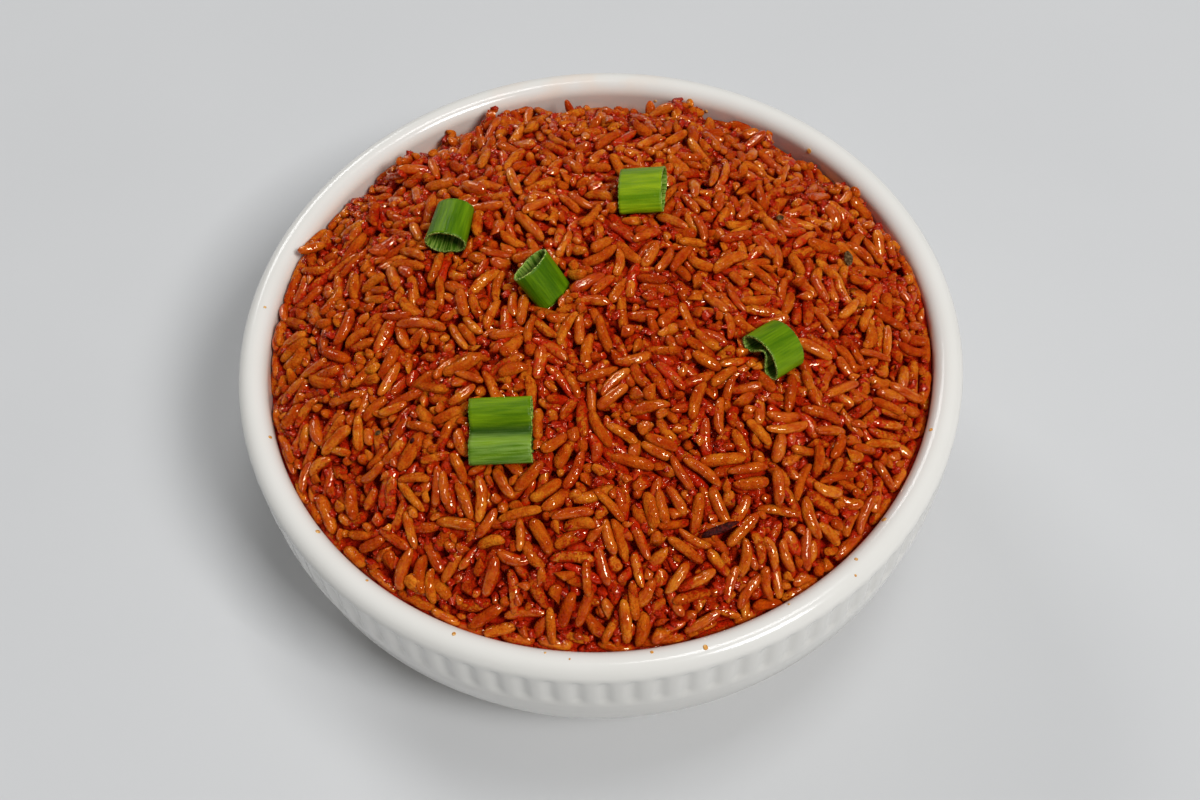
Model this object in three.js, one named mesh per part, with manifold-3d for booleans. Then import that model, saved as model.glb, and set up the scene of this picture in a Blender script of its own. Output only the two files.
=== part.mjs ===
// A fluted porcelain bowl heaped with jollof rice, with five cut pieces of spring onion on top.
// Millimetres, +Z up. The origin is under the middle of the bowl, on the surface it stands on.

import * as THREE from "three";
import { ConvexHull } from "three/addons/math/ConvexHull.js";
import { mergeVertices } from "three/addons/utils/BufferGeometryUtils.js";
import Module from "manifold-3d";

// Bowl
const RIM_RADIUS = 78;
const BOWL_HEIGHT = 54;
const LIP_HALF_WIDTH = 3.15; // the lip is a half-round roll
const FOOT_RADIUS = 50;
const FOOT_WIDTH = 4;
const FOOT_HEIGHT = 3;
const FLOOR_Z = 8; // inside, in the middle
const OUTER_BELLY = 2.76; // how fast the wall turns up from the base: a higher power is squarer
const INNER_BELLY = 3.8;
const BELLY_ROUNDING = 4.5;
const BOWL_SIDES = 90; // flats round the bowl, one for each rib between two flutes
const OUTER_ROWS = [3.8, 9, 17, 26, 37];
const INNER_ROWS = [43, 24, 12];
const FLUTE_BOTTOM = 38.4;
const FLUTE_TOP = 51.8;
const FLUTE_WIDTH = 2.4;
const FLUTE_DEPTH = 0.7;
const FLUTE_END = 2; // how far a flute takes to run out at each end
const CUTTER_OVERSIZE = 1.5; // a third of each flute's cutter stays outside the wall

// Rice heap
const GAP = 0.3; // clearance between neighbouring solids
const RICE_RADIUS = 71.2;
const RICE_EDGE_Z = 50; // where the rice meets the bowl's wall
const DOME_HEIGHT = 20.5;
const DOME_POWER = 2.4;
const DOME_SHOULDER = 0.95;
const BROAD_LUMPS = { rise: 0.8, length: 11 };
const CROSS_LUMPS = { rise: 0.5, length: 7 };
const HEAP_MIDDLE = new THREE.Vector3(0, 0, 34); // every point of the heap's skin is seen from here
const WALL_POINTS = 36; // points on each hidden ring along the bowl's wall
const EDGE_POINTS = 72;
const EDGE_WAVE = 1.3; // how unevenly the heap meets the wall
const EDGE_INSET = 0.9;

// Rice grains
const GRAIN_WIDTH = 2.7;
const GRAIN_LENGTHS = [9.2, 8.2, 7, 5.6]; // whole grains are laid first, broken ones fill in between
const GRAIN_TRIES = 2600; // places tried for each length
const GRAIN_PITCH = 3.6; // least distance between the backs of two neighbours
const GRAIN_TURNS = 5; // directions tried at each place
const BACK_STEP = 3; // distance between the points along a grain's back
const BACK_RISE = 1.5; // back of a grain over the core
const TIP_RISE = 0.5;
const LIFT = 0.75; // some grains lie higher than others
const LEAN = 0.35; // and lean, with one end up and the other down
const SHOULDER = 0.27; // from a grain's middle to where it starts to taper, as a share of its length
const CREVICE_DEPTH = 0.85; // how deep the crevices between the grains go under the core
const CREVICE_TRIES = 9000;
const CREVICE_MARGIN = 1.2; // from the heap's edge
const CREVICE_OFFSET = 1.5; // from a grain's back
const CREVICE_CLEARANCE = 1.35;
const CREVICE_PITCH = 2.4;
const LOOSE_GRAINS = 46; // whole grains fused on top of the others
const LOOSE_RISE = 1.5;
const LOOSE_SIDES = 4;
const LOOSE_MARGIN = 6.5; // from the heap's edge
const LOOSE_SHORTER = 1.6; // the shortest of them against the longest
const LOOSE_TILT = 0.25; // radians, up or down

// Spring onion: hollow leaf, cut across. Length runs along the leaf, width and height across it.
const ONION_WALL = 0.75;
const ONION_POINTS = 18; // points round a section
const CREASE_WIDTH = 0.34; // as a share of half the leaf's width
const ONION_PIECES = [
  {
    name: "spring_onion_back_left",
    at: [-29.6, 19.9],
    turn: 76,
    pitch: 2,
    roll: 0,
    length: 9.6,
    width: 8.8,
    height: 6.8,
    creaseTop: 0,
    creaseBottom: 0.5,
    arch: 0,
    taper: 0.06,
    sink: 0.9,
  },
  {
    name: "spring_onion_back",
    at: [11.3, 25.8],
    turn: -8,
    pitch: 5,
    roll: 0,
    length: 9.3,
    width: 13.8,
    height: 6.6,
    creaseTop: 0,
    creaseBottom: 0.8,
    arch: 1,
    taper: 0,
    sink: 0.9,
  },
  {
    name: "spring_onion_middle",
    at: [-10.6, 2.5],
    turn: 138,
    pitch: 60,
    roll: 8,
    length: 8.8,
    width: 9.3,
    height: 6.6,
    creaseTop: 0,
    creaseBottom: 0.4,
    arch: 0,
    taper: -0.03,
    sink: 3.4,
  },
  {
    name: "spring_onion_right",
    at: [34.6, -14.8],
    turn: 34,
    pitch: -3,
    roll: 0,
    length: 7.8,
    width: 11,
    height: 6.4,
    creaseTop: 0,
    creaseBottom: 4.4,
    arch: 0.9,
    taper: 0,
    sink: 0.9,
  },
  {
    name: "spring_onion_front_left",
    at: [-20.3, -30.3],
    turn: -2,
    pitch: 3,
    roll: 0,
    length: 12.5,
    width: 13.8,
    height: 4.8,
    creaseTop: 2.3,
    creaseBottom: 0,
    arch: 0,
    taper: 0,
    sink: 0.7,
  },
];

const COLOURS = {
  porcelain: 0xebe9e4,
  rice: 0xa5481c,
  onion: 0x4f8f24,
};

const GOLDEN_ANGLE = Math.PI * (3 - Math.sqrt(5));

const wasm = await Module();
wasm.setup();

function seededRandom(seed) {
  let state = seed;
  return () => {
    state = (state + 0x6d2b79f5) | 0;
    let t = Math.imul(state ^ (state >>> 15), 1 | state);
    t = (t + Math.imul(t ^ (t >>> 7), 61 | t)) ^ t;
    return ((t ^ (t >>> 14)) >>> 0) / 4294967296;
  };
}

// Solids

function toSolid(geometry) {
  const bare = new THREE.BufferGeometry();
  bare.setAttribute("position", geometry.getAttribute("position"));
  bare.setIndex(geometry.index);
  const merged = mergeVertices(bare, 1e-4);
  const corners = merged.index.array;
  const triVerts = [];
  for (let i = 0; i < corners.length; i += 3) {
    const [a, b, c] = corners.slice(i, i + 3);
    if (a !== b && b !== c && c !== a) triVerts.push(a, b, c);
  }
  return new wasm.Manifold(
    new wasm.Mesh({
      numProp: 3,
      vertProperties: new Float32Array(merged.attributes.position.array),
      triVerts: new Uint32Array(triVerts),
    }),
  );
}

function toGeometry(solid) {
  const { numProp, vertProperties, triVerts } = solid.getMesh();
  const positions = [];
  for (let i = 0; i < vertProperties.length; i += numProp) {
    positions.push(...vertProperties.subarray(i, i + 3));
  }
  const geometry = new THREE.BufferGeometry();
  geometry.setAttribute("position", new THREE.Float32BufferAttribute(positions, 3));
  geometry.setIndex([...triVerts]);
  geometry.computeVertexNormals();
  return geometry;
}

function largestBody(solid) {
  return solid.decompose().reduce((best, body) => (body.volume() > best.volume() ? body : best));
}

function named(name, geometry, colour, roughness) {
  const material = new THREE.MeshStandardMaterial({ color: colour, roughness, metalness: 0 });
  const mesh = new THREE.Mesh(geometry, material);
  mesh.name = name;
  return mesh;
}

// Bowl

// Radius at height z of a wall that turns up from a flat floor and ends upright.
function bellyRadius(z, radius, floor, top, power) {
  const left = Math.max(0, 1 - (z - floor) / (top - floor));
  return radius * (1 - left ** power) ** (1 / BELLY_ROUNDING);
}

const LIP_Z = BOWL_HEIGHT - LIP_HALF_WIDTH;
const INNER_RADIUS = RIM_RADIUS - 2 * LIP_HALF_WIDTH;

const outerRadius = (z) => bellyRadius(z, RIM_RADIUS, 0, LIP_Z, OUTER_BELLY);
const innerRadius = (z) => bellyRadius(z, INNER_RADIUS, FLOOR_Z, LIP_Z, INNER_BELLY);

function bowlProfile() {
  const points = [
    [0, FOOT_HEIGHT],
    [FOOT_RADIUS - FOOT_WIDTH - 0.6, FOOT_HEIGHT],
    [FOOT_RADIUS - FOOT_WIDTH, 0],
    [FOOT_RADIUS, 0],
    [FOOT_RADIUS + 1, FOOT_HEIGHT],
  ];
  for (const z of OUTER_ROWS) points.push([outerRadius(z), z]);
  for (let quarter = 0; quarter <= 4; quarter++) {
    const angle = (quarter * Math.PI) / 4;
    const out = LIP_HALF_WIDTH * Math.cos(angle);
    points.push([RIM_RADIUS - LIP_HALF_WIDTH + out, LIP_Z + LIP_HALF_WIDTH * Math.sin(angle)]);
  }
  for (const z of INNER_ROWS) points.push([innerRadius(z), z]);
  points.push([0, FLOOR_Z]);
  return points.map(([r, z]) => new THREE.Vector2(r, z));
}

// A long four-sided cutter, pointed at both ends, that leaves one flute in the wall.
function fluteCutter(angle) {
  const half = (FLUTE_TOP - FLUTE_BOTTOM) / 2;
  const profile = [
    new THREE.Vector2(0, -half),
    new THREE.Vector2(1, -half + FLUTE_END),
    new THREE.Vector2(1, half - FLUTE_END),
    new THREE.Vector2(0, half),
  ];
  const low = outerRadius(FLUTE_BOTTOM);
  const high = RIM_RADIUS;
  const outside = (CUTTER_OVERSIZE - 1) * FLUTE_DEPTH;
  const cutter = new THREE.LatheGeometry(profile, 4);
  cutter.rotateX(Math.PI / 2);
  cutter.scale(CUTTER_OVERSIZE * FLUTE_DEPTH, (CUTTER_OVERSIZE * FLUTE_WIDTH) / 2, 1);
  cutter.rotateY(Math.atan2(high - low, 2 * half));
  cutter.translate((low + high) / 2 + outside, 0, (FLUTE_TOP + FLUTE_BOTTOM) / 2);
  cutter.rotateZ(angle);
  return cutter;
}

function bowl() {
  const turned = new THREE.LatheGeometry(bowlProfile(), BOWL_SIDES);
  turned.rotateX(Math.PI / 2);
  let solid = toSolid(turned);
  for (let i = 0; i < BOWL_SIDES; i++) {
    solid = solid.subtract(toSolid(fluteCutter((i * 2 * Math.PI) / BOWL_SIDES)));
  }
  return toGeometry(solid);
}

// Rice heap

// The bare core: a dome with a round shoulder that comes down to the bowl's wall, and a few broad lumps.
function heapHeight(x, y) {
  const reach = Math.min(1, Math.hypot(x, y) / RICE_RADIUS);
  const dome = DOME_HEIGHT * (1 - reach ** DOME_POWER) ** DOME_SHOULDER;
  const broad = Math.sin(x / BROAD_LUMPS.length + 1) * Math.cos(y / BROAD_LUMPS.length);
  const across = Math.sin((x - y) / CROSS_LUMPS.length + 2);
  const lumps = BROAD_LUMPS.rise * broad + CROSS_LUMPS.rise * across;
  return RICE_EDGE_Z + dome + lumps * (1 - reach ** 6);
}

function heapNormal(x, y) {
  const step = 1.5;
  const dx = (heapHeight(x + step, y) - heapHeight(x - step, y)) / (2 * step);
  const dy = (heapHeight(x, y + step) - heapHeight(x, y - step)) / (2 * step);
  return new THREE.Vector3(-dx, -dy, 1).normalize();
}

// The i-th of count places spread evenly over the heap, out to the given radius.
function spreadPlace(i, count, radius) {
  const r = radius * Math.sqrt((i + 0.5) / count);
  return [r * Math.cos(i * GOLDEN_ANGLE), r * Math.sin(i * GOLDEN_ANGLE)];
}

function distanceToSegment([px, py], { from, to }) {
  const dx = to[0] - from[0];
  const dy = to[1] - from[1];
  const along = ((px - from[0]) * dx + (py - from[1]) * dy) / (dx * dx + dy * dy);
  const t = Math.max(0, Math.min(1, along));
  return Math.hypot(px - from[0] - t * dx, py - from[1] - t * dy);
}

// Each grain's back is a line on the heap. Long grains are laid first and shorter ones fill in.
function layGrainBacks(random) {
  const backs = [];
  const limit = RICE_RADIUS - EDGE_INSET;
  const far = 2 * GRAIN_LENGTHS[0];
  for (const length of GRAIN_LENGTHS) {
    const half = (length - GRAIN_WIDTH) / 2;
    for (let i = 0; i < GRAIN_TRIES; i++) {
      const [x, y] = spreadPlace(i, GRAIN_TRIES, limit);
      for (let turn = 0; turn < GRAIN_TURNS; turn++) {
        const angle = random() * Math.PI;
        const dx = half * Math.cos(angle);
        const dy = half * Math.sin(angle);
        const back = { from: [x - dx, y - dy], to: [x + dx, y + dy], half };
        const ends = [back.from, [x, y], back.to];
        if (ends.some(([ex, ey]) => Math.hypot(ex, ey) > limit)) continue;
        const clear = backs.every(
          (other) =>
            Math.abs(other.from[0] - x) > far ||
            Math.abs(other.from[1] - y) > far ||
            (ends.every((end) => distanceToSegment(end, other) > GRAIN_PITCH) &&
              distanceToSegment(other.from, back) > GRAIN_PITCH &&
              distanceToSegment(other.to, back) > GRAIN_PITCH),
        );
        if (!clear) continue;
        back.lift = LIFT * random();
        back.lean = LEAN * (2 * random() - 1);
        backs.push(back);
        break;
      }
    }
  }
  return backs;
}

function raised(x, y, rise) {
  const point = new THREE.Vector3(x, y, heapHeight(x, y)).addScaledVector(heapNormal(x, y), rise);
  const r = Math.hypot(point.x, point.y);
  const inwards = Math.min(1, RICE_RADIUS / r);
  return point.set(point.x * inwards, point.y * inwards, point.z);
}

function backPoints(back) {
  const steps = Math.max(1, Math.round((2 * back.half) / BACK_STEP));
  const points = [];
  for (let i = 0; i <= steps; i++) {
    const t = i / steps;
    const x = back.from[0] + t * (back.to[0] - back.from[0]);
    const y = back.from[1] + t * (back.to[1] - back.from[1]);
    const bow = 4 * t * (1 - t);
    const rise = TIP_RISE + (BACK_RISE - TIP_RISE) * bow + back.lift + back.lean * (2 * t - 1);
    points.push(raised(x, y, rise));
  }
  return points;
}

// Places beside both halves of a grain's back and just past its tips.
function placesAround({ from, to, half }) {
  const along = [(to[0] - from[0]) / (2 * half), (to[1] - from[1]) / (2 * half)];
  const offsets = [-1, 1].flatMap((end) => [
    [end * (half + CREVICE_OFFSET), 0],
    [end * half * 0.5, CREVICE_OFFSET],
    [end * half * 0.5, -CREVICE_OFFSET],
  ]);
  const middle = [(from[0] + to[0]) / 2, (from[1] + to[1]) / 2];
  return offsets.map(([ahead, aside]) => [
    middle[0] + ahead * along[0] - aside * along[1],
    middle[1] + ahead * along[1] + aside * along[0],
  ]);
}

function crevicePoints(backs, random) {
  const limit = RICE_RADIUS - CREVICE_MARGIN;
  const candidates = backs.flatMap(placesAround).filter(([x, y]) => Math.hypot(x, y) < limit);
  for (let i = 0; i < CREVICE_TRIES; i++) candidates.push(spreadPlace(i, CREVICE_TRIES, limit));
  const places = [];
  for (const place of candidates) {
    if (places.some(([x, y]) => Math.hypot(x - place[0], y - place[1]) < CREVICE_PITCH)) continue;
    if (backs.some((back) => distanceToSegment(place, back) < CREVICE_CLEARANCE)) continue;
    places.push(place);
  }
  return places.map(([x, y]) => raised(x, y, -CREVICE_DEPTH * (0.4 + 0.9 * random())));
}

// The hidden side and underside follow the bowl's wall and floor.
function hiddenPoints() {
  const points = [new THREE.Vector3(0, 0, FLOOR_Z + GAP)];
  for (const z of INNER_ROWS) {
    for (let i = 0; i < WALL_POINTS; i++) {
      const angle = (i * 2 * Math.PI) / WALL_POINTS;
      const r = innerRadius(z) - 1.5 * GAP;
      points.push(new THREE.Vector3(r * Math.cos(angle), r * Math.sin(angle), z + GAP));
    }
  }
  return points;
}

function edgePoints(random) {
  const points = [];
  for (let i = 0; i < EDGE_POINTS; i++) {
    const angle = ((i + 0.6 * random()) * 2 * Math.PI) / EDGE_POINTS;
    const r = RICE_RADIUS - EDGE_INSET * random();
    const z = RICE_EDGE_Z + EDGE_WAVE * ((i % 2) - 1 + 0.7 * random());
    points.push(new THREE.Vector3(r * Math.cos(angle), r * Math.sin(angle), z));
  }
  return points;
}

// Joins points that are all seen from one middle into a closed skin: the hull of their directions
// says which three belong to each face.
function skinAround(middle, points) {
  const directions = points.map((point) => point.clone().sub(middle).normalize());
  const numberOf = new Map(directions.map((direction, i) => [direction, i]));
  const hull = new ConvexHull().setFromPoints(directions);
  const index = [];
  for (const face of hull.faces) {
    const { edge } = face;
    const corners = [edge.head().point, edge.next.head().point, edge.next.next.head().point];
    index.push(...corners.map((corner) => numberOf.get(corner)));
  }
  const geometry = new THREE.BufferGeometry().setFromPoints(points);
  geometry.setIndex(index);
  return geometry;
}

function looseGrain(place, length, angle, tilt) {
  const half = length / 2;
  const profile = [
    new THREE.Vector2(0, -half),
    new THREE.Vector2(GRAIN_WIDTH / 2, -SHOULDER * length),
    new THREE.Vector2(GRAIN_WIDTH / 2, SHOULDER * length),
    new THREE.Vector2(0, half),
  ];
  const grain = new THREE.LatheGeometry(profile, LOOSE_SIDES);
  const along = new THREE.Vector3(Math.cos(angle), Math.sin(angle), 0);
  const normal = heapNormal(...place);
  along.addScaledVector(normal, -along.dot(normal)).addScaledVector(normal, Math.sin(tilt));
  const turn = new THREE.Quaternion().setFromUnitVectors(new THREE.Vector3(0, 1, 0), along.normalize());
  grain.applyQuaternion(turn);
  const middle = raised(...place, LOOSE_RISE);
  grain.translate(middle.x, middle.y, middle.z);
  return grain;
}

function nearOnion([x, y], clearance) {
  return ONION_PIECES.some(({ at, length, width }) => {
    const reach = Math.hypot(length, width) / 2;
    return Math.hypot(at[0] - x, at[1] - y) < reach + clearance;
  });
}

function riceHeap(beds) {
  const random = seededRandom(20);
  const backs = layGrainBacks(random);
  const points = [
    ...hiddenPoints(),
    ...edgePoints(random),
    ...backs.flatMap(backPoints),
    ...crevicePoints(backs, random),
  ];
  let solid = toSolid(skinAround(HEAP_MIDDLE, points));
  for (let i = 0; i < LOOSE_GRAINS; i++) {
    const length = GRAIN_LENGTHS[0] - LOOSE_SHORTER * random();
    const place = spreadPlace(i, LOOSE_GRAINS, RICE_RADIUS - LOOSE_MARGIN);
    const angle = random() * Math.PI;
    const tilt = LOOSE_TILT * (2 * random() - 1);
    if (nearOnion(place, length / 2)) continue;
    solid = solid.add(toSolid(looseGrain(place, length, angle, tilt)));
  }
  for (const bed of beds) solid = solid.subtract(bed);
  return toGeometry(largestBody(solid));
}

// Spring onion

// Outline of a leaf's section, with a crease pressed into its top or bottom and an arch across it.
function leafOutline(piece, grow) {
  const points = [];
  const halfWidth = piece.width / 2 + grow;
  const halfHeight = piece.height / 2 + grow;
  for (let i = 0; i < ONION_POINTS; i++) {
    const angle = (i * 2 * Math.PI) / ONION_POINTS;
    const x = halfWidth * Math.cos(angle);
    const across = (2 * x) / piece.width;
    const crease = Math.sin(angle) > 0 ? -piece.creaseTop : piece.creaseBottom;
    const pressed = crease * Math.exp(-((across / CREASE_WIDTH) ** 2)) * Math.abs(Math.sin(angle));
    const y = halfHeight * Math.sin(angle) + pressed - piece.arch * across * across;
    points.push(new THREE.Vector2(x, y));
  }
  return points;
}

// The leaf's axis runs along its length and the section's top looks up from the heap.
function placeOnHeap(geometry, piece) {
  const turn = THREE.MathUtils.degToRad(piece.turn);
  const pitch = THREE.MathUtils.degToRad(piece.pitch);
  const roll = THREE.MathUtils.degToRad(piece.roll);
  const normal = heapNormal(...piece.at);
  const along = new THREE.Vector3(Math.cos(turn), Math.sin(turn), 0);
  along.addScaledVector(normal, -along.dot(normal)).normalize();
  const side = new THREE.Vector3().crossVectors(normal, along);
  along.applyAxisAngle(side, -pitch);
  const top = new THREE.Vector3().crossVectors(along, side).applyAxisAngle(along, roll);
  side.crossVectors(top, along);
  const lowest = (piece.length / 2) * Math.sin(Math.abs(pitch)) + (piece.height / 2) * Math.cos(pitch);
  const middle = new THREE.Vector3(...piece.at, heapHeight(...piece.at));
  middle.addScaledVector(normal, lowest - piece.sink + piece.arch * 0.5);
  geometry.applyMatrix4(new THREE.Matrix4().makeBasis(side, top, along).setPosition(middle));
}

function leafGeometry(piece, grow, hollow) {
  const shape = new THREE.Shape(leafOutline(piece, grow));
  if (hollow) shape.holes.push(new THREE.Path(leafOutline(piece, -ONION_WALL)));
  const length = piece.length + 2 * grow;
  const leaf = new THREE.ExtrudeGeometry(shape, { depth: length, steps: 2, bevelEnabled: false });
  leaf.translate(0, 0, -length / 2);
  const position = leaf.getAttribute("position");
  for (let i = 0; i < position.count; i++) {
    const scale = 1 - (2 * piece.taper * position.getZ(i)) / piece.length;
    position.setXY(i, position.getX(i) * scale, position.getY(i) * scale);
  }
  placeOnHeap(leaf, piece);
  return leaf;
}

const beds = ONION_PIECES.map((piece) => toSolid(leafGeometry(piece, GAP, false)));

const dish = new THREE.Group();
dish.add(named("bowl", bowl(), COLOURS.porcelain, 0.25));
dish.add(named("rice", riceHeap(beds), COLOURS.rice, 0.45));
for (const piece of ONION_PIECES) {
  const leaf = toGeometry(toSolid(leafGeometry(piece, 0, true)));
  dish.add(named(piece.name, leaf, COLOURS.onion, 0.4));
}

export default dish;
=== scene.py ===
"""A fluted porcelain bowl heaped with jollof rice, with five cut pieces of spring onion on top.

Shapes are worked out in millimetres, and a piece's mesh is turned into metres when it is finished.
"""

import math

import bmesh
import bpy
import numpy as np
from mathutils import Matrix, Vector, noise
from mathutils.bvhtree import BVHTree


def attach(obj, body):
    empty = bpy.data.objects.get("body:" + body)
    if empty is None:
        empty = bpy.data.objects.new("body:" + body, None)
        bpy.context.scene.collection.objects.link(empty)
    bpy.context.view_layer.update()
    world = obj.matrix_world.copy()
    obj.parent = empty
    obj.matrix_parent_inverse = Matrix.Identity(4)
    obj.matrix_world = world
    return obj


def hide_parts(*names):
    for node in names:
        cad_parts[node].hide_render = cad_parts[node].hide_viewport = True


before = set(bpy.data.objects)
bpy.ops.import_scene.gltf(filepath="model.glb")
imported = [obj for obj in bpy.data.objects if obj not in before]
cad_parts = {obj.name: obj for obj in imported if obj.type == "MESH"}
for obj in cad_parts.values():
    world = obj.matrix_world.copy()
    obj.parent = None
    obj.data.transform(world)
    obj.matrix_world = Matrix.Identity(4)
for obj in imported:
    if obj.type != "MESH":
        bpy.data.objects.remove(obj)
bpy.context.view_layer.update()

MM = 0.001

# Bowl
RIM_RADIUS = 78
BOWL_HEIGHT = 54
LIP_HALF_WIDTH = 3.15
LIP_Z = BOWL_HEIGHT - LIP_HALF_WIDTH
INNER_RADIUS = RIM_RADIUS - 2 * LIP_HALF_WIDTH
FOOT_RADIUS = 50
FOOT_WIDTH = 4
FOOT_HEIGHT = 3
FOOT_ROUNDING = 0.7
FLOOR_Z = 8
OUTER_BELLY = 2.76
INNER_BELLY = 3.8
BELLY_ROUNDING = 4.5
FLUTES = 90
FLUTE_BOTTOM = 38.4
FLUTE_TOP = 51.8
FLUTE_DEPTH = 0.56
FLUTE_END = 3.2
FLUTE_NARROWNESS = 1.5
STEPS_PER_FLUTE = 10
WALL_ROWS = 9
FLUTE_ROWS = 16
LIP_ROWS = 14
INNER_ROWS = 10

# Rice heap
RICE_RADIUS = 71.2
RICE_EDGE_Z = 50
DOME_HEIGHT = 20.5
DOME_POWER = 2.4
DOME_SHOULDER = 0.95
BROAD_LUMPS = {"rise": 0.8, "length": 11}
CROSS_LUMPS = {"rise": 0.5, "length": 7}
BED_DEPTH = 3.5  # the core lies this far under the heap's skin
BED_RISE_BY_WALL = 0.6  # the share of that depth which is filled up along the wall
BED_RING = 1.1
BED_SECTORS = 30
BED_STEPS = 10
BED_RELIEF = 0.5
BED_RELIEF_LENGTH = 1.6
BED_LEVELS = (FLOOR_Z + 1.5, 12, 18, 26, 36)
WALL_GAP = 0.3
TOP_GAP = 0.07  # between the wall and the grains at the top
# Where the heap meets the wall lower, or higher: degrees, spread and drop
LOW_EDGES = [
    (92, 16, 5.6),
    (124, 12, 4.4),
    (184, 5, 1.6),
    (145, 12, 1.4),
    (40, 14, 2.8),
    (62, 14, 1),
    (156, 9, -2),
    (4, 14, -1.2),
]
EDGE_RAGGEDNESS = 0.7
CLUMPS = [(9, 1.5), (4.5, 0.8)]  # length and rise of the clumps of grains on the heap
CLUMPS_AT_BACK = 7  # how much higher they are at the heap's edge at the back
CLUMPS_BY_EDGE = 9  # how closely that keeps to the edge
CLUMPS_GROWTH = 1.6  # and how soon it is reached towards the back

# Rice grains
GRAIN_SIDES = 9
GRAIN_RINGS = 9
GRAIN_FULLNESS = 3.2
GRAIN_ENDS = (2.8, 5.2)  # how full each end of a grain is
GRAIN_BLUNTNESS = 0.5
GROOVE = 0.07
SKEW = 0.12
DENTS = 0.095
GRAIN_WIDTH = (2, 2.85)
GRAIN_FLATNESS = (0.74, 0.96)
WHOLE_LENGTH = (6.2, 9.4)
BROKEN_LENGTH = (3.6, 6.2)
CHIP_LENGTH = (2.2, 4.2)
CHIP_WIDTH = (1.5, 2.2)
CHIP_FLATNESS = 0.85
CHIP_COUNT = 700
# Kinds of grain: how far they bend, how many shapes they have, and how many are tried
GRAIN_KINDS = {"straight": (0.25, 14, 1650), "bent": (0.75, 12, 1500), "broken": (0.3, 10, 650)}
BREAK_AT = (0, 0.5)  # the share of its half length at which a broken grain ends
BREAK_SLANT = 0.5
UPRIGHT_SHARE = 0.06
UPRIGHT_SLOPE = (0.9, 2.4)
UPRIGHT_TIP = (0.2, 1.6)  # how far their tips stay under the heap's crest
PROUD = (-0.7, 0.9)  # how far a grain may rise above the crest
ROLL = 0.6
TONE_SPREAD = 0.3
PASTE_SPREAD = 0.28
PATTERN_SHIFT = 500  # so that no two grains have the same pattern

# Pepper paste
PASTE_ZONES = 13
PASTE_BY_ZONE = 0.9
LUMP_KINDS = {"clots": 2, "crumbs": 1}  # and how often their spheres are subdivided
LUMP_SHAPES = 12
LUMP_UNEVENNESS = (0.45, 1.2)
LUMP_SLOPE = 0.5
CLUMPS_OF_PASTE = 2900
CRUMBS_IN_CLUMP = (1, 15)
CRUMB_SIZE = (0.2, 0.5)
CRUMB_FORM = (1.3, 1, 0.8)
CRUMB_RISE = 0.1
CLOT_LENGTH = (1.2, 3.2)
CLOT_WIDTH = (0.55, 0.9)
CLOT_THICKNESS = (0.25, 0.4)
CLOT_SINK = 0.05
CLUMP_SPREAD = (0.35, 0.9)
CLUMP_RISE = 0.6
HOLLOWS_LOOKED_AT = 4
PASTE_BELOW_CREST = 0.7

# Small things on the heap: x, y, turn, length, width and thickness
CHARRED_BITS = [(21.4, -51.4, 20, 8, 1.7, 1.5), (-38.4, -30, 60, 1.3, 0.9, 0.6)]
HERB_BITS = [(54.5, 11.4, 80, 4.2, 2, 0.9), (40.7, 21.5, 30, 1.9, 1.3, 0.7), (-45.9, -25.4, 10, 1.4, 1, 0.6)]
PALE_BITS = [(-39.1, -55.4, -35, 4.6, 3.2, 2.8)]
BIT_LUMPS = 0.22
BIT_LUMPS_ACROSS = 4
BIT_SHARE_OUT = 0.4

# Oil drops: the angle round the bowl, the angle across the lip from outside, and the size.
# Past 180 they are on the wall inside, that much further down.
OIL_SPOTS = [
    (195.8, 136, 0.8),
    (216, 132, 1),
    (228.2, 128, 0.6),
    (245, 104, 0.8),
    (259.2, 119, 0.5),
    (263, 100, 0.4),
    (275.3, 116, 0.7),
    (283.2, 89, 1),
    (297.8, 124, 0.5),
    (308.8, 64, 0.5),
    (310.8, 107, 0.7),
    (319.5, 138, 1.1),
    (338.2, 131, 0.8),
    (169.8, 108, 0.6),
    (44.5, 164, 1.2),
    (66.5, 197, 1),
    (76.5, 194, 0.8),
]
OIL_THICKNESS = 0.3
OIL_LENGTH = 1.2

# Pile
CELL = 0.45
WALL_MARGIN = 1
PITS_LOOKED_AT = 40
PITS_TRIED = 20
CLOSED_AROUND = 0.5
ROOF_GAP = 0.15
BY_WALL = 3.2  # grains this near the wall lie more or less along it
ALONG_WALL = 0.6
WALL_ROWS_OF_RICE = 3
WALL_NESTING = 0.38  # the share of a grain's width by which its middle keeps off the wall
WALL_WANDER = (-0.2, 0.4)
WALL_TURN = 0.06
WALL_STEP = (0.4, 0.7)  # from a grain's middle to its neighbour's end, as a share of its length
SIDE_CLEARANCE = 0.1
TURNS_TRIED = 8
CREST_RISE = 1.6
LEAST_COVER = 1.6  # the grains lie at least this thick on the core
SINK = 0.4
STEEPEST = 0.8
SLOPES = 13
LEVEL_SMOOTHING = 30

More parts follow.
